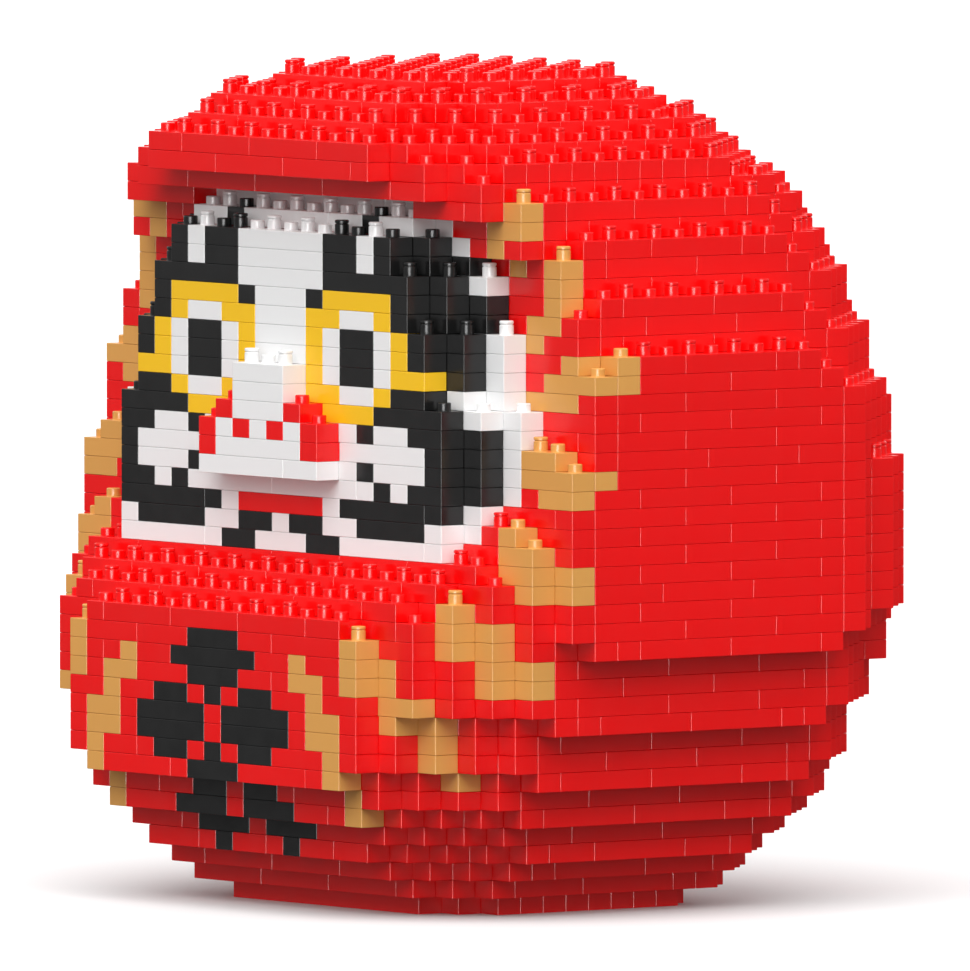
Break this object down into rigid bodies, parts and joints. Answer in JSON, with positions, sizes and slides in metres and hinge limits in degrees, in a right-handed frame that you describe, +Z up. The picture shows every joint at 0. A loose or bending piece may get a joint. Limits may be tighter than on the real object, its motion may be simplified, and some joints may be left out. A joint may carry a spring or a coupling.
{
  "type": "brick-built daruma doll",
  "caption": "Round daruma doll built from small studded bricks laid in courses, with a white face, ringed eyes, black brows and gold flame patterns.",
  "frame": {"origin": "middle of the underside of the base course", "axes": "+Z up, the face looks along -Y, the two halves mirror each other across X"},
  "size_m": [0.1738, 0.1378, 0.1789],
  "materials": {
    "red_abs": "glossy moulded plastic",
    "white_abs": "glossy moulded plastic",
    "black_abs": "glossy moulded plastic",
    "yellow_abs": "glossy moulded plastic",
    "gold_abs": "glossy moulded plastic"
  },
  "bodies": {
    "root": {"red_course_01": "red_abs", "red_course_02": "red_abs", "red_course_03": "red_abs", "red_course_04": "red_abs", "red_course_05": "red_abs", "red_course_06": "red_abs", "red_course_07": "red_abs", "red_course_08": "red_abs", "red_course_09": "red_abs", "red_course_10": "red_abs", "red_course_11": "red_abs", "red_course_12": "red_abs", "red_course_13": "red_abs", "red_course_14": "red_abs", "red_course_15": "red_abs", "red_course_16": "red_abs", "red_course_17": "red_abs", "red_course_18": "red_abs", "red_course_19": "red_abs", "red_course_20": "red_abs", "red_course_21": "red_abs", "red_course_22": "red_abs", "red_course_23": "red_abs", "red_course_24": "red_abs", "red_course_25": "red_abs", "red_course_26": "red_abs", "red_course_27": "red_abs", "red_course_28": "red_abs", "red_course_29": "red_abs", "red_course_30": "red_abs", "red_course_31": "red_abs", "red_course_32": "red_abs", "red_course_33": "red_abs", "red_course_34": "red_abs", "red_course_35": "red_abs", "red_course_36": "red_abs", "red_course_37": "red_abs", "red_course_38": "red_abs", "red_course_39": "red_abs", "red_course_40": "red_abs", "red_course_41": "red_abs", "red_course_42": "red_abs", "red_course_43": "red_abs", "red_course_44": "red_abs", "white_face_bricks": "white_abs", "black_face_bricks": "black_abs", "eye_rim_bricks": "yellow_abs", "eye_white_bricks": "white_abs", "pupil_bricks": "black_abs", "nose_bricks": "white_abs", "nostril_bricks": "red_abs", "lip_bricks": "red_abs", "blossom_crest_bricks": "black_abs", "gold_flame_bricks": "gold_abs"}
  },
  "joints": []
}
